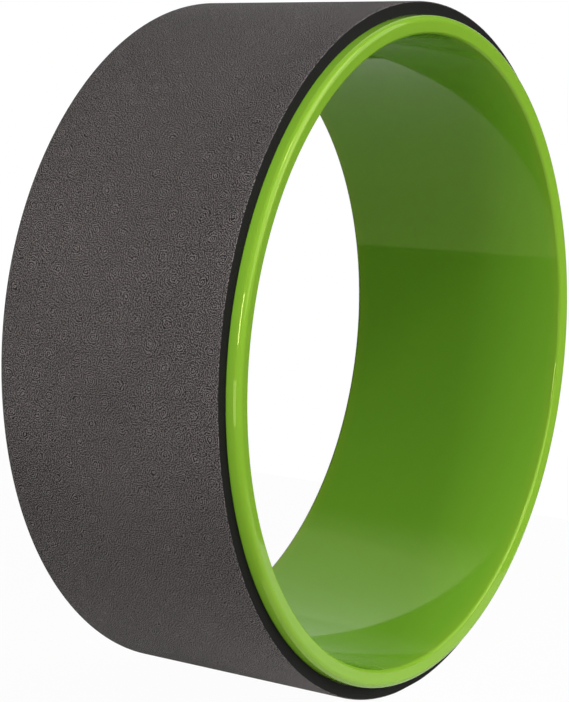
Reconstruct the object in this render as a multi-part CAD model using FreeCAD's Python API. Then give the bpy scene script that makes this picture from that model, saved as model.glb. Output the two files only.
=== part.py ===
"""Yoga wheel: a moulded plastic ring with a foam grip pad bonded round it.

The wheel stands on its tread. Its axis lies along Y, its origin is the centre of the wheel, and +Z is up.
"""

import FreeCAD, Part
import math
import os

# Overall sizes in millimetres
WHEEL_DIAMETER = 330.0
RIM_WIDTH = 128.0

# The moulded rim: its wall, and the rounds on the outer and inner edge of each lip
RIM_WALL = 8.7
LIP_OUTER_ROUND = 2.8
LIP_INNER_ROUND = 4.2

# The foam pad, and how far the soft foam is pressed flat where the wheel stands on it
PAD_WIDTH = 115.5
PAD_THICKNESS = 6.0
PAD_FLATTENING = 0.5

# The film that bonds the pad to the rim, and its distance in from the pad's long edges
FILM_THICKNESS = 0.3
FILM_SET_BACK = 1.5

# The butt seam where the two ends of the pad strip meet, in degrees above the +X axis
SEAM_GAP = 0.4
SEAM_ANGLE = -30.0

# Sizes that follow from those above
PAD_OUTER_RADIUS = WHEEL_DIAMETER / 2
PAD_INNER_RADIUS = PAD_OUTER_RADIUS - PAD_THICKNESS
RIM_OUTER_RADIUS = PAD_INNER_RADIUS - FILM_THICKNESS
RIM_INNER_RADIUS = RIM_OUTER_RADIUS - RIM_WALL
FILM_WIDTH = PAD_WIDTH - 2 * FILM_SET_BACK

WHEEL_CENTRE = FreeCAD.Vector(0, 0, 0)
WHEEL_AXIS = FreeCAD.Vector(0, 1, 0)
FULL_TURN = 360.0


def turned_to_seam(shape):
    """A shape made about the +X axis, turned to the seam's place round the wheel."""
    shape.rotate(WHEEL_CENTRE, WHEEL_AXIS, -SEAM_ANGLE)
    return shape


def band(inner_radius, outer_radius, width):
    """A plain ring of rectangular section round the wheel's axis, starting at the seam."""
    half = width / 2
    corners = [(inner_radius, -half), (outer_radius, -half), (outer_radius, half), (inner_radius, half)]
    points = [FreeCAD.Vector(radius, along, 0) for radius, along in corners]
    section = Part.Face(Part.makePolygon(points + points[:1]))
    return turned_to_seam(section.revolve(WHEEL_CENTRE, WHEEL_AXIS, FULL_TURN))


def end_edges(ring, radius):
    """The round edges of this radius, one at each end of a ring."""
    circles = [edge for edge in ring.Edges if isinstance(edge.Curve, Part.Circle)]
    return [edge for edge in circles if math.isclose(edge.Curve.Radius, radius)]


def rim_ring():
    """The moulded ring: a straight bore, a straight seat for the pad and a lip with two rounds at each end."""
    ring = band(RIM_INNER_RADIUS, RIM_OUTER_RADIUS, RIM_WIDTH)
    ring = ring.makeFillet(LIP_OUTER_ROUND, end_edges(ring, RIM_OUTER_RADIUS))
    return ring.makeFillet(LIP_INNER_ROUND, end_edges(ring, RIM_INNER_RADIUS))


def seam_slot():
    """The narrow slot between the strip's two cut ends, reaching from the rim out past the tread."""
    strip_depth = FILM_THICKNESS + PAD_THICKNESS
    slot = Part.makeBox(2 * strip_depth, 2 * PAD_WIDTH, SEAM_GAP)
    slot.translate(FreeCAD.Vector(RIM_OUTER_RADIUS - strip_depth / 2, -PAD_WIDTH, -SEAM_GAP / 2))
    return turned_to_seam(slot)


def floor_block():
    """The floor under the wheel, which takes away what the soft pad gives where it stands."""
    block = Part.makeBox(WHEEL_DIAMETER, 2 * PAD_WIDTH, PAD_THICKNESS)
    floor_height = PAD_FLATTENING - PAD_OUTER_RADIUS
    block.translate(FreeCAD.Vector(-WHEEL_DIAMETER / 2, -PAD_WIDTH, floor_height - PAD_THICKNESS))
    return block


def adhesive_film():
    """The film on the strip's back, cut with it at the seam and set back from its long edges."""
    return band(RIM_OUTER_RADIUS, PAD_INNER_RADIUS, FILM_WIDTH).cut(seam_slot())


def foam_pad():
    """The grip pad: a strip wrapped once round the rim, butted at the seam and pressed flat on the floor."""
    strip = band(PAD_INNER_RADIUS, PAD_OUTER_RADIUS, PAD_WIDTH).cut(seam_slot())
    return strip.cut(floor_block())


PIECES = {
    "rim_ring": rim_ring,
    "adhesive_film": adhesive_film,
    "foam_pad": foam_pad,
}

os.makedirs("parts", exist_ok=True)
for node, make in PIECES.items():
    make().exportStep(f"parts/{node}.step")
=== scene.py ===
"""Yoga wheel: a glossy moulded ring with an embossed foam strip round it, and the studio it stands in.

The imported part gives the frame: metres, the wheel's axis along Y, its centre at the origin and +Z up.
"""

import math

import bmesh
import bpy
from bpy.props import FloatProperty, FloatVectorProperty, IntProperty, PointerProperty
from bpy.types import Operator, Panel, PropertyGroup
from mathutils import Matrix, Vector


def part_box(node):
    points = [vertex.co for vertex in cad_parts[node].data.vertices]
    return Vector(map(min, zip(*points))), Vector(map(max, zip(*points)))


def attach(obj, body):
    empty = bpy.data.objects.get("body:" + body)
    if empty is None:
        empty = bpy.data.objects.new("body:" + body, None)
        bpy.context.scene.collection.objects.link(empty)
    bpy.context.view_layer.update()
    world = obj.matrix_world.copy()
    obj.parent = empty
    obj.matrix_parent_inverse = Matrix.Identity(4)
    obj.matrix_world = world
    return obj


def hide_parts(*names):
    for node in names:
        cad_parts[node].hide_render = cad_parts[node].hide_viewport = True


bl_info = {
    "name": "Yoga Wheel",
    "version": (1, 0, 0),
    "blender": (4, 5, 0),
    "location": "3D View > Sidebar > Yoga Wheel",
    "description": "Builds the looks of a yoga wheel: moulded rim, adhesive film, foam pad and studio",
    "category": "Object",
}

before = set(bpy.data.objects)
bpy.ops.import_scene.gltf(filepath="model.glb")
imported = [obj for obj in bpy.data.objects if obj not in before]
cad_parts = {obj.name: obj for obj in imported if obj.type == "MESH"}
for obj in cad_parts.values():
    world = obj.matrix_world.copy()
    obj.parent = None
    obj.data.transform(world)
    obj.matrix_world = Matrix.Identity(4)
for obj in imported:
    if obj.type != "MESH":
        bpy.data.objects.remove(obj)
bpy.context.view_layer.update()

MM = 0.001
RIM_LOW, RIM_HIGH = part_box("rim_ring")
FILM_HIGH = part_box("adhesive_film")[1]
PAD_LOW, PAD_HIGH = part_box("foam_pad")

# Steps in the rounds of the lip and of the worn tread edge, and in the tread across the strip
SHOULDER_STEPS = 14
LIP_EDGE_STEPS = 8
WORN_EDGE_STEPS = 5
TREAD_STEPS = 24

# Rows close up towards each end of the strip, which springs up there and whose edge is worn
END_ROWS = [place * MM for place in (0.0, 0.15, 0.4, 0.9, 2, 4, 7, 11)]
LIFT_FADE = 4 * MM
END_WEAR = 0.9 * MM

# A strip laid by hand wanders to the side in waves: their height, and the count and start of each
WANDER = 0.12 * MM
WANDER_WAVES = ((3, 0.0), (7, 1.3))

# Edges of the pad bent more than this stay crisp
CRISP_ANGLE = math.radians(40)

# How far the board reaches from the wheel's centre to the front, the right and the back
BOARD_FRONT = 0.4
BOARD_RIGHT = 0.36
BOARD_BACK = 1.0
BOARD_THICKNESS = 18 * MM
BOARD_ROUND = 2 * MM

# Each lamp's name, power setting, direction and distance from the wheel, and width and height
LAMPS = (
    ("softbox_front", "front_power", (0.0, -0.84, 0.54), 1.6, (2.0, 1.5)),
    ("softbox_right", "right_power", (0.50, -0.75, 0.45), 1.5, (1.2, 1.0)),
    ("softbox_high", "high_power", (-0.27, -0.54, 0.79), 1.3, (0.20, 0.20)),
    ("softbox_low", "low_power", (-0.957, -0.13, 0.25), 1.05, (0.20, 0.26)),
    ("strip_light", "strip_power", (-0.98, 0.02, -0.15), 0.9, (0.7, 0.2)),
    ("softbox_back", "back_power", (0.48, 0.52, 0.71), 1.6, (1.2, 1.0)),
)

# Direction of each part of the white backdrop, with the cosines at which it starts and is full
BACKDROP_UPRIGHT = ((0.83, 0.55, -0.02), 0.80, 0.93)
BACKDROP_OVERHEAD = ((0.48, 0.52, 0.71), 0.76, 0.92)

# Width of the camera's frame, which Blender takes in millimetres
FRAME_WIDTH = 36.0


def linear(hex_colour):
    """A colour written as sRGB hex, as the linear RGB that the shaders work in."""
    channels = [int(hex_colour[start:start + 2], 16) / 255 for start in (1, 3, 5)]
    return [c / 12.92 if c <= 0.04045 else ((c + 0.055) / 1.055) ** 2.4 for c in channels]


class YogaWheelSizes(PropertyGroup):
    """Sizes of the rim and the pad."""
    rim_radius: FloatProperty(
        name="Rim radius", description="Outside of the moulded ring, under the film",
        default=RIM_HIGH.x, unit="LENGTH", precision=4)
    rim_width: FloatProperty(
        name="Rim width", description="From lip to lip along the axis",
        default=RIM_HIGH.y - RIM_LOW.y, unit="LENGTH", precision=4)
    rim_wall: FloatProperty(
        name="Rim wall", description="Wall of the moulded ring between its rounds",
        default=8.7 * MM, unit="LENGTH", precision=4)
    lip_outer_round: FloatProperty(
        name="Outer round", description="Round on the outer edge of each lip",
        default=2.8 * MM, unit="LENGTH", precision=4)
    lip_lean: FloatProperty(
        name="Lip lean", description="How far the flat face of each lip leans in towards the bore",
        default=math.radians(10), subtype="ANGLE")
    lip_edge_round: FloatProperty(
        name="Inner edge round", description="Small round where the face of each lip meets the bore",
        default=1.8 * MM, unit="LENGTH", precision=4)
    pad_radius: FloatProperty(
        name="Pad radius", description="Tread of the foam pad, which is the wheel's radius",
        default=-PAD_LOW.x, unit="LENGTH", precision=4)
    pad_back_radius: FloatProperty(
        name="Pad back radius", description="Back of the foam pad, on the film",
        default=FILM_HIGH.x, unit="LENGTH", precision=4)
    pad_width: FloatProperty(
        name="Pad width", description="Width of the foam strip",
        default=PAD_HIGH.y - PAD_LOW.y, unit="LENGTH", precision=4)
    pad_edge_round: FloatProperty(
        name="Pad edge round", description="How far the knife-cut edge of the tread is worn round",
        default=0.5 * MM, unit="LENGTH", precision=5)
    seam_angle: FloatProperty(
        name="Seam angle", description="Place of the butt seam, up from the +X axis",
        default=math.radians(-30), subtype="ANGLE")
    seam_gap: FloatProperty(
        name="Seam gap", description="Gap between the two ends of the strip",
        default=0.4 * MM, unit="LENGTH", precision=5)
    seam_lift: FloatProperty(
        name="Seam lift", description="How far the strip's ends spring up beside the seam",
        default=0.25 * MM, unit="LENGTH", precision=5)
    floor_height: FloatProperty(
        name="Floor height", description="The floor that presses the pad flat, below the wheel's centre",
        default=PAD_LOW.z, unit="LENGTH", precision=4)
    whorl_cell: FloatVectorProperty(
        name="Whorl cell", description="Spacing of the whorls round the wheel and across the strip",
        default=(18.5 * MM, 15.2 * MM), size=2, unit="LENGTH", precision=4)
    ridge_pitch: FloatProperty(
        name="Ridge pitch", description="Distance between the ridges of the emboss",
        default=1.0 * MM, unit="LENGTH", precision=5)
    ridge_height: FloatProperty(
        name="Ridge height", description="Height of the ridges of the emboss",
        default=0.16 * MM, unit="LENGTH", precision=5)
    ring_steps: IntProperty(
        name="Ring steps", description="Steps that a ring is turned in",
        default=480, min=48)


class YogaWheelColours(PropertyGroup):
    """Colours of the rim, the film and the pad."""
    rim_green: FloatVectorProperty(
        name="Rim green", description="Lime green of the bore",
        default=linear("#81bd35"), subtype="COLOR", min=0, max=1)
    # Painted glow: the lips are coloured yellower and lighter than the bore, standing in for light that
    # enters them from more sides
    lip_glow_green: FloatVectorProperty(
        name="Lip green", description="Yellower green of the lips, which light enters from more sides",
        default=linear("#8ebf37"), subtype="COLOR", min=0, max=1)
    # Painted light and shade of the emboss: ridge tops coloured pale, valleys coloured nearly black
    tread_ridge_lit: FloatVectorProperty(
        name="Tread ridges", description="Top of the embossed ridges",
        default=linear("#8a8281"), subtype="COLOR", min=0, max=1)
    tread_valley_shade: FloatVectorProperty(
        name="Tread valleys", description="Between the embossed ridges",
        default=linear("#0c0b0b"), subtype="COLOR", min=0, max=1)
    # Painted shade: the knife-cut edge and its pores are coloured nearly black, for light that the opened
    # cells hold
    foam_cut_shade: FloatVectorProperty(
        name="Cut foam", description="Knife-cut edge of the foam",
        default=linear("#1c1a1a"), subtype="COLOR", min=0, max=1)
    foam_pore_shade: FloatVectorProperty(
        name="Foam pores", description="Opened cells in the cut edge",
        default=linear("#0f0e0e"), subtype="COLOR", min=0, max=1)
    film: FloatVectorProperty(
        name="Film", description="Adhesive film under the pad",
        default=linear("#b9b4a0"), subtype="COLOR", min=0, max=1)


class YogaWheelStudio(PropertyGroup):
    """Camera, lamps and floor."""
    camera_place: FloatVectorProperty(
        name="Camera place", description="Where the camera stands",
        default=(-0.79194, -0.49394, 0.14146), subtype="TRANSLATION", unit="LENGTH")
    camera_heading: FloatProperty(
        name="Camera heading", description="Direction that the camera faces, from +Y towards +X",
        default=math.radians(56.023), subtype="ANGLE")
    camera_drop: FloatProperty(
        name="Camera drop", description="How far the camera looks below level",
        default=math.radians(9.038), subtype="ANGLE")
    camera_roll: FloatProperty(
        name="Camera roll", description="Turn of the camera about its own line of sight",
        default=math.radians(-0.36), subtype="ANGLE")
    camera_lens: FloatProperty(
        name="Lens", description="Focal length on a 36 mm frame, in millimetres",
        default=98.345, unit="CAMERA")
    camera_shift: FloatVectorProperty(
        name="Shift", description="Crop of the frame to the side and up",
        default=(0.0557, 0.0079), size=2)
    floor_white: FloatVectorProperty(
        name="Floor", description="Matt white board that the wheel stands on",
        default=linear("#dededc"), subtype="COLOR", min=0, max=1)
    floor_glow: FloatProperty(
        name="Floor glow", description="Share of plain white that the floor shows to the lens",
        default=0.97, min=0, max=1, subtype="FACTOR")
    floor_gleam: FloatProperty(
        name="Floor gleam", description="Share of plain white that the floor shows in gloss",
        default=0.45, min=0, max=1, subtype="FACTOR")
    board_edge: FloatProperty(
        name="Board edge", description="From the wheel's centre to the edge of the board beside the tread",
        default=0.167, unit="LENGTH")
    room_grey: FloatProperty(
        name="Dim room", description="Brightness of the room's plain walls",
        default=0.02, min=0)
    backdrop_gleam: FloatProperty(
        name="Backdrop gleam", description="Brightness of the white backdrop in gloss",
        default=0.75, min=0, max=1, subtype="FACTOR")
    front_power: FloatProperty(
        name="Front softbox", description="Power of the large softbox in front of the wheel's near face",
        default=22.3, unit="POWER")
    right_power: FloatProperty(
        name="Right softbox", description="Power of the softbox in front of the wheel and to its right",
        default=5.0, unit="POWER")
    high_power: FloatProperty(
        name="High softbox", description="Power of the small softbox above the camera",
        default=1.4, unit="POWER")
    low_power: FloatProperty(
        name="Low softbox", description="Power of the small softbox beside the tread",
        default=3.7, unit="POWER")
    strip_power: FloatProperty(
        name="Strip light", description="Power of the long low light beside the tread",
        default=1.5, unit="POWER")
    back_power: FloatProperty(
        name="Back softbox", description="Power of the softbox above the white backdrop",
        default=0.75, unit="POWER")


def add_node(tree, kind, settings=None, **links):
    """Adds one shader node, sets its settings and sockets, and links a socket that is given an output."""
    node = tree.nodes.new(kind)
    for name, value in (settings or {}).items():
        setattr(node, name, value)
    for name, value in links.items():
        place = int(name[1:]) if name[1:].isdigit() else name.replace("_", " ")
        socket = node.inputs[place]
        if isinstance(value, bpy.types.NodeSocket):
            tree.links.new(value, socket)
        else:
            socket.default_value = value
    return node


def new_material(name):
    """An empty node material and its node tree."""
    material = bpy.data.materials.new(name)
    material.use_nodes = True
    material.node_tree.nodes.clear()
    return material, material.node_tree


def opaque(colour):
    """A linear colour with full alpha, as a shader's socket takes it."""
    return (*colour, 1.0)


def moulded_abs(sizes, colours):
    """ABS, injection moulded in a polished tool: a glassy skin over an even pigment.

    The eye sees sharp mirror images on a strong colour. The long flow of the melt bends them very slightly,
    and handling leaves the gloss a little uneven. The lips are painted yellower and lighter: a painted glow
    that stands in for the light entering them from more sides.
    """
    material, tree = new_material("abs_moulded_polished_lime")
    place = add_node(tree, "ShaderNodeTexCoord").outputs["Object"]
    # Flow of the melt: waves about 45 mm long, of a hundredth of a millimetre
    flow = add_node(tree, "ShaderNodeTexNoise", Vector=place, Scale=1 / (45 * MM), Detail=1.0)
    # Handling: patches about 18 mm across, a little duller or brighter
    handling = add_node(tree, "ShaderNodeTexNoise", Vector=place, Scale=1 / (18 * MM), Detail=4.0)
    along = add_node(tree, "ShaderNodeSeparateXYZ", Vector=place).outputs["Y"]
    from_middle = add_node(tree, "ShaderNodeMath", {"operation": "ABSOLUTE"}, _0=along)
    # The lips' painted glow, a yellower green, sets in from 8 mm to 2 mm short of the rim's ends
    half_width = sizes.rim_width / 2
    lip = add_node(
        tree, "ShaderNodeMapRange", Value=from_middle.outputs[0],
        From_Min=half_width - 8 * MM, From_Max=half_width - 2 * MM, To_Min=0.0, To_Max=1.0)
    # Mix factor: faint clouds from the melt's flow, plus the lips' painted glow
    clouded = add_node(
        tree, "ShaderNodeMath", {"operation": "MULTIPLY_ADD"},
        _0=flow.outputs["Fac"], _1=0.2, _2=lip.outputs["Result"])
    # Base colour: the bore's pigment, with the lips' painted glow mixed in
    pigment = add_node(
        tree, "ShaderNodeMix", {"data_type": "RGBA"}, Factor=clouded.outputs[0],
        _6=opaque(colours.rim_green), _7=opaque(colours.lip_glow_green))
    gloss = add_node(
        tree, "ShaderNodeMapRange", Value=handling.outputs["Fac"],
        From_Min=0.3, From_Max=0.7, To_Min=0.04, To_Max=0.07)
    wave = add_node(tree, "ShaderNodeBump", Strength=1.0, Distance=0.012 * MM, Height=flow.outputs["Fac"])
    skin = add_node(
        tree, "ShaderNodeBsdfPrincipled", Base_Color=pigment.outputs[2], Roughness=gloss.outputs["Result"],
        IOR=1.53, Specular_IOR_Level=0.4, Specular_Tint=(1.0, 1.0, 0.4, 1.0), Normal=wave.outputs["Normal"])
    add_node(tree, "ShaderNodeOutputMaterial", Surface=skin.outputs["BSDF"])
    return material


def embossed_foam(sizes, colours):
    """TPE foam, closed-cell, with a skin embossed by a roller: matt charcoal with a fingerprint of ridges.

    The ridges run in rings round whorls. Their colour carries painted light and shade: tops painted pale,
    valleys painted nearly black where shade falls between the ridges. The fine grain of the skin breaks
    them up.
    """
    material, tree = new_material("tpe_foam_embossed_charcoal")
    strip = add_node(tree, "ShaderNodeAttribute", {"attribute_name": "strip_place"}).outputs["Vector"]
    # All its noise lies in the plane of the strip before it is wrapped
    flat = {"noise_dimensions": "2D"}
    # The roller's pattern is drawn by hand, so the rings bend by about half a millimetre over 8 mm
    bend = add_node(tree, "ShaderNodeTexNoise", flat, Vector=strip, Scale=1 / (8 * MM), Detail=1.0)
    centred = add_node(
        tree, "ShaderNodeVectorMath", {"operation": "SUBTRACT"},
        _0=bend.outputs["Color"], _1=(0.5, 0.5, 0.5))
    bent = add_node(
        tree, "ShaderNodeVectorMath", {"operation": "MULTIPLY_ADD"},
        _0=centred.outputs[0], _1=(2 * MM, 2 * MM, 0), _2=strip)
    # The whorls stand in staggered rows: one at the corners of each cell, and one in its middle
    half_round, half_across = (spacing / 2 for spacing in sizes.whorl_cell)
    reaches = []
    for start in ((0, 0, 0), (half_round, half_across, 0)):
        moved = add_node(tree, "ShaderNodeVectorMath", {"operation": "ADD"}, _0=bent.outputs[0], _1=start)
        in_cell = add_node(
            tree, "ShaderNodeVectorMath", {"operation": "WRAP"},
            _0=moved.outputs[0], _1=(half_round, half_across, 0), _2=(-half_round, -half_across, 0))
        reach = add_node(tree, "ShaderNodeVectorMath", {"operation": "LENGTH"}, _0=in_cell.outputs[0])
        reaches.append(reach.outputs["Value"])
    to_whorl = add_node(
        tree, "ShaderNodeMath", {"operation": "MINIMUM"}, _0=reaches[0], _1=reaches[1]).outputs[0]
    # Each ring wavers by about half a ridge over 1.5 mm, so that no line runs on for long
    waver = add_node(tree, "ShaderNodeTexNoise", flat, Vector=strip, Scale=1 / (1.5 * MM), Detail=1.0)
    wavered = add_node(
        tree, "ShaderNodeMath", {"operation": "MULTIPLY_ADD"}, _0=waver.outputs["Fac"],
        _1=1.4 * sizes.ridge_pitch, _2=to_whorl)
    turns = add_node(
        tree, "ShaderNodeMath", {"operation": "MULTIPLY"}, _0=wavered.outputs[0],
        _1=2 * math.pi / sizes.ridge_pitch)
    ripple = add_node(tree, "ShaderNodeMath", {"operation": "SINE"}, _0=turns.outputs[0])
    # The roller bites deepest at the middle of a whorl, and less from 4 mm outwards
    bite = add_node(
        tree, "ShaderNodeMapRange", Value=to_whorl,
        From_Min=0.5 * MM, From_Max=4 * MM, To_Min=1.5, To_Max=0.42)
    pressed = add_node(
        tree, "ShaderNodeMath", {"operation": "MULTIPLY"}, _0=ripple.outputs[0], _1=bite.outputs["Result"])
    # Grain of the skin, about 0.2 mm, drawn at 0.45 mm so that it shows
    skin_grain = add_node(tree, "ShaderNodeTexNoise", flat, Vector=strip, Scale=1 / (0.45 * MM), Detail=1.0)
    grain = add_node(
        tree, "ShaderNodeMapRange", Value=skin_grain.outputs["Fac"],
        From_Min=0.25, From_Max=0.75, To_Min=-1.5, To_Max=1.5)
    height = add_node(
        tree, "ShaderNodeMath", {"operation": "ADD"}, _0=grain.outputs["Result"], _1=pressed.outputs[0])
    ridge = add_node(
        tree, "ShaderNodeMapRange", Value=height.outputs[0],
        From_Min=-0.4, From_Max=0.8, To_Min=0.0, To_Max=1.0)
    # Wear and handling: faint clouds a hand's width across
    clouds = add_node(tree, "ShaderNodeTexNoise", flat, Vector=strip, Scale=1 / (70 * MM), Detail=3.0)
    rubbed = add_node(
        tree, "ShaderNodeMapRange", Value=clouds.outputs["Fac"],
        From_Min=0.3, From_Max=0.7, To_Min=0.92, To_Max=1.06)
    # Painted shade and light: the colour runs from nearly black in the valleys to pale on the ridge tops
    tint = add_node(
        tree, "ShaderNodeMix", {"data_type": "RGBA"}, Factor=ridge.outputs["Result"],
        _6=opaque(colours.tread_valley_shade), _7=opaque(colours.tread_ridge_lit))
    clouded = add_node(
        tree, "ShaderNodeVectorMath", {"operation": "SCALE"},
        _0=tint.outputs[2], Scale=rubbed.outputs["Result"])
    relief = add_node(
        tree, "ShaderNodeBump", Strength=0.8, Distance=sizes.ridge_height, Height=ridge.outputs["Result"])
    skin = add_node(
        tree, "ShaderNodeBsdfPrincipled", Base_Color=clouded.outputs[0], Roughness=0.72, IOR=1.49,
        Specular_IOR_Level=0.35, Normal=relief.outputs["Normal"])
    add_node(tree, "ShaderNodeOutputMaterial", Surface=skin.outputs["BSDF"])
    return material


def cut_foam(colours):
    """TPE foam, cut with a knife: painted nearly black, a painted shade for the light that its opened cells
    hold.
    """
    material, tree = new_material("tpe_foam_knife_cut")
    place = add_node(tree, "ShaderNodeTexCoord").outputs["Object"]
    # Cells of about 0.3 mm, drawn at 0.6 mm so that they show, as shallow pits whose painted shade is
    # darker still
    cells = add_node(tree, "ShaderNodeTexVoronoi", Vector=place, Scale=1 / (0.6 * MM), Randomness=1.0)
    pit = add_node(
        tree, "ShaderNodeMapRange", Value=cells.outputs["Distance"],
        From_Min=0.1, From_Max=0.6, To_Min=0.0, To_Max=1.0)
    # Painted shade: pores coloured darker than the cut face around them
    tint = add_node(
        tree, "ShaderNodeMix", {"data_type": "RGBA"}, Factor=pit.outputs["Result"],
        _6=opaque(colours.foam_pore_shade), _7=opaque(colours.foam_cut_shade))
    relief = add_node(
        tree, "ShaderNodeBump", Strength=0.7, Distance=0.15 * MM, Height=pit.outputs["Result"])
    cut = add_node(
        tree, "ShaderNodeBsdfPrincipled", Base_Color=tint.outputs[2], Roughness=0.9, IOR=1.49,
        Specular_IOR_Level=0.25, Normal=relief.outputs["Normal"])
    add_node(tree, "ShaderNodeOutputMaterial", Surface=cut.outputs["BSDF"])
    return material


def acrylic_film(colours):
    """Acrylic adhesive film, rolled on: pale and dull, with the faint cloudiness of pressed glue."""
    material, tree = new_material("acrylic_adhesive_rolled")
    place = add_node(tree, "ShaderNodeTexCoord").outputs["Object"]
    # Clouds of glue about 6 mm across, as the roller left them
    cloud = add_node(tree, "ShaderNodeTexNoise", Vector=place, Scale=1 / (6 * MM), Detail=3.0)
    dull = add_node(
        tree, "ShaderNodeMapRange", Value=cloud.outputs["Fac"],
        From_Min=0.3, From_Max=0.7, To_Min=0.4, To_Max=0.6)
    press = add_node(tree, "ShaderNodeBump", Strength=0.5, Distance=0.05 * MM, Height=cloud.outputs["Fac"])
    glue = add_node(
        tree, "ShaderNodeBsdfPrincipled", Base_Color=opaque(colours.film), Roughness=dull.outputs["Result"],
        IOR=1.47, Normal=press.outputs["Normal"])
    add_node(tree, "ShaderNodeOutputMaterial", Surface=glue.outputs["BSDF"])
    return material


def seen_share(tree, to_lens, in_gloss):
    """The share of plain white that a surface shows: one to the lens, another in gloss or through glass."""
    ray = add_node(tree, "ShaderNodeLightPath")
    bounced = add_node(
        tree, "ShaderNodeMath", {"operation": "MAXIMUM"},
        _0=ray.outputs["Is Glossy Ray"], _1=ray.outputs["Is Transmission Ray"])
    dimmed = add_node(tree, "ShaderNodeMath", {"operation": "MULTIPLY"}, _0=bounced.outputs[0], _1=in_gloss)
    return add_node(
        tree, "ShaderNodeMath", {"operation": "MULTIPLY_ADD"},
        _0=ray.outputs["Is Camera Ray"], _1=to_lens, _2=dimmed.outputs[0]).outputs[0]


def matt_board(studio):
    """Painted board: plain matt white, with the slight tooth of a rolled coat.

    The lens sees it as almost plain white, and gloss as partly so. The rest of it takes the wheel's shadow.
    """
    material, tree = new_material("board_painted_matt_white")
    place = add_node(tree, "ShaderNodeTexCoord").outputs["Object"]
    # Tooth of the paint: bumps about 2 mm across
    tooth = add_node(tree, "ShaderNodeTexNoise", Vector=place, Scale=1 / (2 * MM), Detail=2.0)
    relief = add_node(tree, "ShaderNodeBump", Strength=0.1, Distance=0.05 * MM, Height=tooth.outputs["Fac"])
    paint = add_node(
        tree, "ShaderNodeBsdfPrincipled", Base_Color=opaque(studio.floor_white), Roughness=0.9,
        Specular_IOR_Level=0.1, Normal=relief.outputs["Normal"])
    white = add_node(tree, "ShaderNodeEmission", Color=(1, 1, 1, 1), Strength=1.0)
    board = add_node(
        tree, "ShaderNodeMixShader", _0=seen_share(tree, studio.floor_glow, studio.floor_gleam),
        _1=paint.outputs["BSDF"], _2=white.outputs["Emission"])
    add_node(tree, "ShaderNodeOutputMaterial", Surface=board.outputs["Shader"])
    return material


def arc(centre, radius, start, end, steps):
    """Points of a round between two angles in degrees, as (distance from the axis, place along it)."""
    angles = [math.radians(start + (end - start) * step / steps) for step in range(steps + 1)]
    return [(centre[0] + radius * math.cos(a), centre[1] + radius * math.sin(a)) for a in angles]


def on_wheel(radius, along, angle):
    """A point at this distance from the axis, this far along it, turned up from the +X axis."""
    return Vector((radius * math.cos(angle), along, radius * math.sin(angle)))


def neighbours(count):
    """Each place round a closed section, with the one after it."""
    return [(place, (place + 1) % count) for place in range(count)]


def finished_mesh(name, shape):
    """The mesh of a shape that is done with."""
    mesh = bpy.data.meshes.new(name)
    shape.to_mesh(mesh)
    shape.free()
    return mesh


def new_piece(name, mesh):
    """A piece of the wheel, in the scene and on the part's one body."""
    piece = bpy.data.objects.new(name, mesh)
    bpy.context.scene.collection.objects.link(piece)
    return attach(piece, "root")


def rim_outline(sizes):
    """The rim's section: straight bore, straight seat, and at each end a lip whose flat face leans in.

    It keeps within about half a millimetre of the solid, whose lips have two rounds.
    """
    outer, inner = sizes.rim_radius, sizes.rim_radius - sizes.rim_wall
    big, small, lean = sizes.lip_outer_round, sizes.lip_edge_round, sizes.lip_lean
    shoulder = (outer - big, sizes.rim_width / 2 - big)
    # The face touches both rounds, so the small one's centre lies this far along the axis
    edge_radius = inner + small
    edge_along = shoulder[1] + (big - small - math.sin(lean) * (shoulder[0] - edge_radius)) / math.cos(lean)
    touch = 90 + math.degrees(lean)
    far_lip = arc(shoulder, big, 0, touch, SHOULDER_STEPS)
    far_lip += arc((edge_radius, edge_along), small, touch, 180, LIP_EDGE_STEPS)
    near_lip = [(radius, -along) for radius, along in reversed(far_lip)]
    return near_lip + far_lip


class YOGAWHEEL_OT_mould_rim(Operator):
    """Turns the rim's section round the axis, finer than the solid's facets, so its gloss runs clean"""
    bl_idname = "yoga_wheel.mould_rim"
    bl_label = "Mould the rim"

    def execute(self, context):
        scene = context.scene
        sizes = scene.yoga_wheel_sizes
        outline = rim_outline(sizes)
        shape = bmesh.new()
        rows = []
        for step in range(sizes.ring_steps):
            angle = 2 * math.pi * step / sizes.ring_steps
            rows.append([shape.verts.new(on_wheel(radius, along, angle)) for radius, along in outline])
        for row, after in zip(rows, rows[1:] + rows[:1]):
            for near, far in neighbours(len(outline)):
                face = shape.faces.new((row[near], after[near], after[far], row[far]))
                face.smooth = True
        bmesh.ops.recalc_face_normals(shape, faces=shape.faces)
        mesh = finished_mesh("rim_moulded", shape)
        mesh.materials.append(moulded_abs(sizes, scene.yoga_wheel_colours))
        rim = new_piece("rim_moulded", mesh)
        # The straight walls keep their own direction, so the rounds don't smear into them
        straight = rim.modifiers.new("Straight walls", "WEIGHTED_NORMAL")
        straight.keep_sharp = True
        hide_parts("rim_ring")
        return {"FINISHED"}


class YOGAWHEEL_OT_lay_film(Operator):
    """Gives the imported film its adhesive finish"""
    bl_idname = "yoga_wheel.lay_film"
    bl_label = "Lay the film"

    def execute(self, context):
        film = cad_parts["adhesive_film"]
        if not film.data.materials:
            raise RuntimeError("the packed film has no material slot to fill")
        film.data.materials[0] = acrylic_film(context.scene.yoga_wheel_colours)
        return {"FINISHED"}


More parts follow.
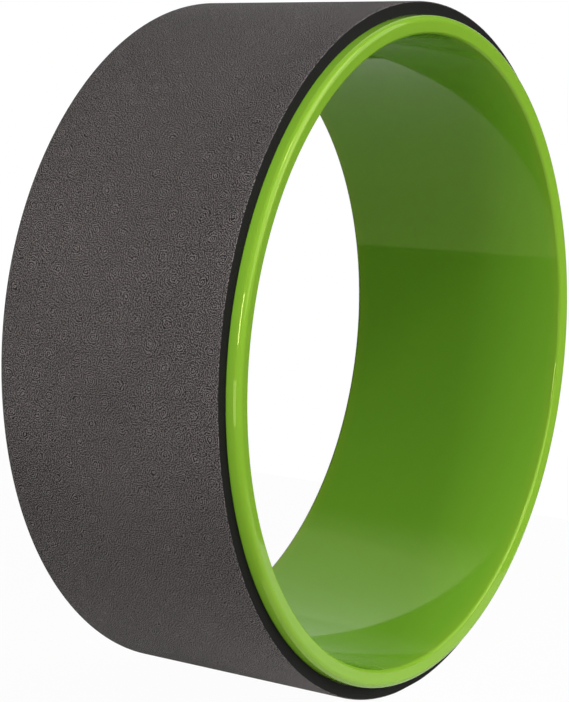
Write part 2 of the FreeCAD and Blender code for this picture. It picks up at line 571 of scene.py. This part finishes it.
def pad_outline(sizes):
    """The strip's section, starting at the far edge of the tread: worn edges, cut sides and a flat back.

    Also says at which of its points the cut sides start.
    """
    half = sizes.pad_width / 2
    tread, back, worn = sizes.pad_radius, sizes.pad_back_radius, sizes.pad_edge_round
    near = arc((tread - worn, -half + worn), worn, 0, -90, WORN_EDGE_STEPS)
    far = arc((tread - worn, half - worn), worn, 90, 0, WORN_EDGE_STEPS)
    flat = [(tread, (half - worn) * (1 - 2 * step / TREAD_STEPS)) for step in range(1, TREAD_STEPS)]
    top = far + flat + near
    middle = (tread + back) / 2
    return top + [(middle, -half), (back, -half), (back, half), (middle, half)], len(top) - 1


class YOGAWHEEL_OT_wrap_pad(Operator):
    """Wraps the foam strip once round the rim, butts its ends and presses it flat where the wheel stands"""
    bl_idname = "yoga_wheel.wrap_pad"
    bl_label = "Wrap the pad"

    def execute(self, context):
        scene = context.scene
        sizes = scene.yoga_wheel_sizes
        outline, side_start = pad_outline(sizes)
        first = sizes.seam_angle + sizes.seam_gap / 2 / sizes.pad_radius
        turn = 2 * math.pi - sizes.seam_gap / sizes.pad_radius
        length = turn * sizes.pad_radius
        even = length - 2 * END_ROWS[-1]
        between = [END_ROWS[-1] + even * step / sizes.ring_steps for step in range(1, sizes.ring_steps)]
        stations = END_ROWS + between + [length - place for place in reversed(END_ROWS)]
        shape = bmesh.new()
        strip_place = shape.verts.layers.float_vector.new("strip_place")
        rows = []
        for station in stations:
            angle = first + station / sizes.pad_radius
            to_end = min(station, length - station)
            lift = sizes.seam_lift * math.exp(-to_end / LIFT_FADE)
            worn = sizes.pad_edge_round * max(0.0, 1 - to_end / END_WEAR) ** 2
            wander = WANDER * sum(math.sin(count * angle + start) for count, start in WANDER_WAVES)
            row = []
            for radius, along in outline:
                share = (radius - sizes.pad_back_radius) / (sizes.pad_radius - sizes.pad_back_radius)
                point = on_wheel(radius + share * (lift - worn), along + share * wander, angle)
                if point.z < sizes.floor_height:
                    point.z = sizes.floor_height
                vertex = shape.verts.new(point)
                vertex[strip_place] = (station, along, radius)
                row.append(vertex)
            rows.append(row)
        for row, after in zip(rows, rows[1:]):
            for near, far in neighbours(len(outline)):
                face = shape.faces.new((row[near], row[far], after[far], after[near]))
                face.smooth = True
                face.material_index = 1 if near >= side_start else 0
        for row in (rows[0], rows[-1]):
            face = shape.faces.new(row)
            face.material_index = 1
        bmesh.ops.recalc_face_normals(shape, faces=shape.faces)
        mesh = finished_mesh("pad_wrapped", shape)
        mesh.materials.append(embossed_foam(sizes, scene.yoga_wheel_colours))
        mesh.materials.append(cut_foam(scene.yoga_wheel_colours))
        mesh.set_sharp_from_angle(angle=CRISP_ANGLE)
        pad = new_piece("pad_wrapped", mesh)
        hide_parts("foam_pad")
        return {"FINISHED"}


def softbox(name, towards, distance, size, power):
    """Adds a softbox: an area lamp of this width and height, this far from the wheel and facing it."""
    lamp = bpy.data.lights.new(name, "AREA")
    lamp.shape = "RECTANGLE"
    lamp.size, lamp.size_y = size
    lamp.energy = power
    box = bpy.data.objects.new(name, lamp)
    line = Vector(towards).normalized()
    box.matrix_world = Matrix.LocRotScale(line * distance, (-line).to_track_quat("-Z", "Y"), None)
    bpy.context.scene.collection.objects.link(box)


def camera_turn(studio):
    """The camera's axes from its heading, its drop below level and its roll."""
    heading, drop, roll = studio.camera_heading, studio.camera_drop, studio.camera_roll
    level = math.cos(drop)
    forward = Vector((math.sin(heading) * level, math.cos(heading) * level, -math.sin(drop)))
    level_right = Vector((math.cos(heading), -math.sin(heading), 0))
    level_down = forward.cross(level_right)
    right = level_right * math.cos(roll) + level_down * math.sin(roll)
    up = level_right * math.sin(roll) - level_down * math.cos(roll)
    return Matrix((right, up, -forward)).transposed()


def studio_camera(studio):
    """The camera, with its lens, crop, place and turn."""
    lens = bpy.data.cameras.new("studio_camera")
    lens.sensor_width = FRAME_WIDTH
    lens.lens = studio.camera_lens
    lens.shift_x, lens.shift_y = studio.camera_shift
    camera = bpy.data.objects.new("studio_camera", lens)
    camera.matrix_world = Matrix.Translation(studio.camera_place) @ camera_turn(studio).to_4x4()
    bpy.context.scene.collection.objects.link(camera)
    return camera


def studio_board(studio, floor_height):
    """The board under the wheel, with one edge that runs along the axis beside the tread."""
    low = Vector((-studio.board_edge, -BOARD_FRONT, floor_height - BOARD_THICKNESS))
    high = Vector((BOARD_RIGHT, BOARD_BACK, floor_height))
    shape = bmesh.new()
    bmesh.ops.create_cube(shape, size=1.0)
    bmesh.ops.scale(shape, verts=shape.verts, vec=high - low)
    bmesh.ops.translate(shape, verts=shape.verts, vec=(low + high) / 2)
    bmesh.ops.bevel(shape, geom=shape.edges[:], offset=BOARD_ROUND, segments=3, profile=0.5, affect="EDGES")
    mesh = finished_mesh("studio_board", shape)
    mesh.materials.append(matt_board(studio))
    board = bpy.data.objects.new("studio_board", mesh)
    bpy.context.scene.collection.objects.link(board)
    return board


def wall_share(tree, towards, start, full):
    """How far a direction belongs to the wall that lies this way: 0 before one cosine, 1 from another."""
    direction = add_node(tree, "ShaderNodeTexCoord").outputs["Generated"]
    facing = add_node(tree, "ShaderNodeVectorMath", {"operation": "DOT_PRODUCT"}, _0=direction, _1=towards)
    return add_node(
        tree, "ShaderNodeMapRange", {"interpolation_type": "SMOOTHSTEP"}, Value=facing.outputs["Value"],
        From_Min=start, From_Max=full, To_Min=0.0, To_Max=1.0).outputs["Result"]


def studio_world(studio):
    """A dim room that is plain white to the lens.

    Gloss and glass show a white backdrop, which stands behind the wheel and sweeps up overhead.
    """
    world = bpy.data.worlds.new("studio_room")
    world.use_nodes = True
    tree = world.node_tree
    tree.nodes.clear()
    room = add_node(tree, "ShaderNodeBackground", Color=(1, 1, 1, 1), Strength=studio.room_grey)
    white = add_node(tree, "ShaderNodeBackground", Color=(1, 1, 1, 1), Strength=1.0)
    upright = wall_share(tree, *BACKDROP_UPRIGHT)
    overhead = wall_share(tree, *BACKDROP_OVERHEAD)
    sweep = add_node(tree, "ShaderNodeMath", {"operation": "MAXIMUM"}, _0=upright, _1=overhead)
    gleam = add_node(
        tree, "ShaderNodeMath", {"operation": "MULTIPLY"}, _0=sweep.outputs[0], _1=studio.backdrop_gleam)
    sky = add_node(
        tree, "ShaderNodeMixShader", _0=seen_share(tree, 1.0, gleam.outputs[0]),
        _1=room.outputs["Background"], _2=white.outputs["Background"])
    add_node(tree, "ShaderNodeOutputWorld", Surface=sky.outputs["Shader"])
    return world


class YOGAWHEEL_OT_set_stage(Operator):
    """Sets the floor, the lamps, the room and the camera"""
    bl_idname = "yoga_wheel.set_stage"
    bl_label = "Set the stage"

    def execute(self, context):
        scene = context.scene
        studio = scene.yoga_wheel_studio
        board = studio_board(studio, scene.yoga_wheel_sizes.floor_height)
        for name, power, towards, distance, size in LAMPS:
            softbox(name, towards, distance, size, getattr(studio, power))
        scene.world = studio_world(studio)
        scene.camera = studio_camera(studio)
        scene.view_settings.view_transform = "Standard"
        return {"FINISHED"}


class YOGAWHEEL_PT_build(Panel):
    """Sizes, colours and steps of the yoga wheel"""
    bl_idname = "YOGAWHEEL_PT_build"
    bl_label = "Yoga Wheel"
    bl_space_type = "VIEW_3D"
    bl_region_type = "UI"
    bl_category = "Yoga Wheel"

    def draw(self, context):
        scene = context.scene
        for settings in (scene.yoga_wheel_sizes, scene.yoga_wheel_colours, scene.yoga_wheel_studio):
            column = self.layout.column()
            for name in settings.__annotations__:
                column.prop(settings, name)
        for step in STEPS:
            self.layout.operator(step.bl_idname)


STEPS = (
    YOGAWHEEL_OT_mould_rim,
    YOGAWHEEL_OT_lay_film,
    YOGAWHEEL_OT_wrap_pad,
    YOGAWHEEL_OT_set_stage,
)
CLASSES = (YogaWheelSizes, YogaWheelColours, YogaWheelStudio, *STEPS, YOGAWHEEL_PT_build)


def register():
    for each in CLASSES:
        bpy.utils.register_class(each)
    bpy.types.Scene.yoga_wheel_sizes = PointerProperty(type=YogaWheelSizes)
    bpy.types.Scene.yoga_wheel_colours = PointerProperty(type=YogaWheelColours)
    bpy.types.Scene.yoga_wheel_studio = PointerProperty(type=YogaWheelStudio)


def unregister():
    del bpy.types.Scene.yoga_wheel_studio
    del bpy.types.Scene.yoga_wheel_colours
    del bpy.types.Scene.yoga_wheel_sizes
    for each in reversed(CLASSES):
        bpy.utils.unregister_class(each)


def main():
    """Builds every piece and the stage."""
    register()
    bpy.ops.yoga_wheel.mould_rim()
    bpy.ops.yoga_wheel.lay_film()
    bpy.ops.yoga_wheel.wrap_pad()
    bpy.ops.yoga_wheel.set_stage()


if __name__ == "__main__":
    main()
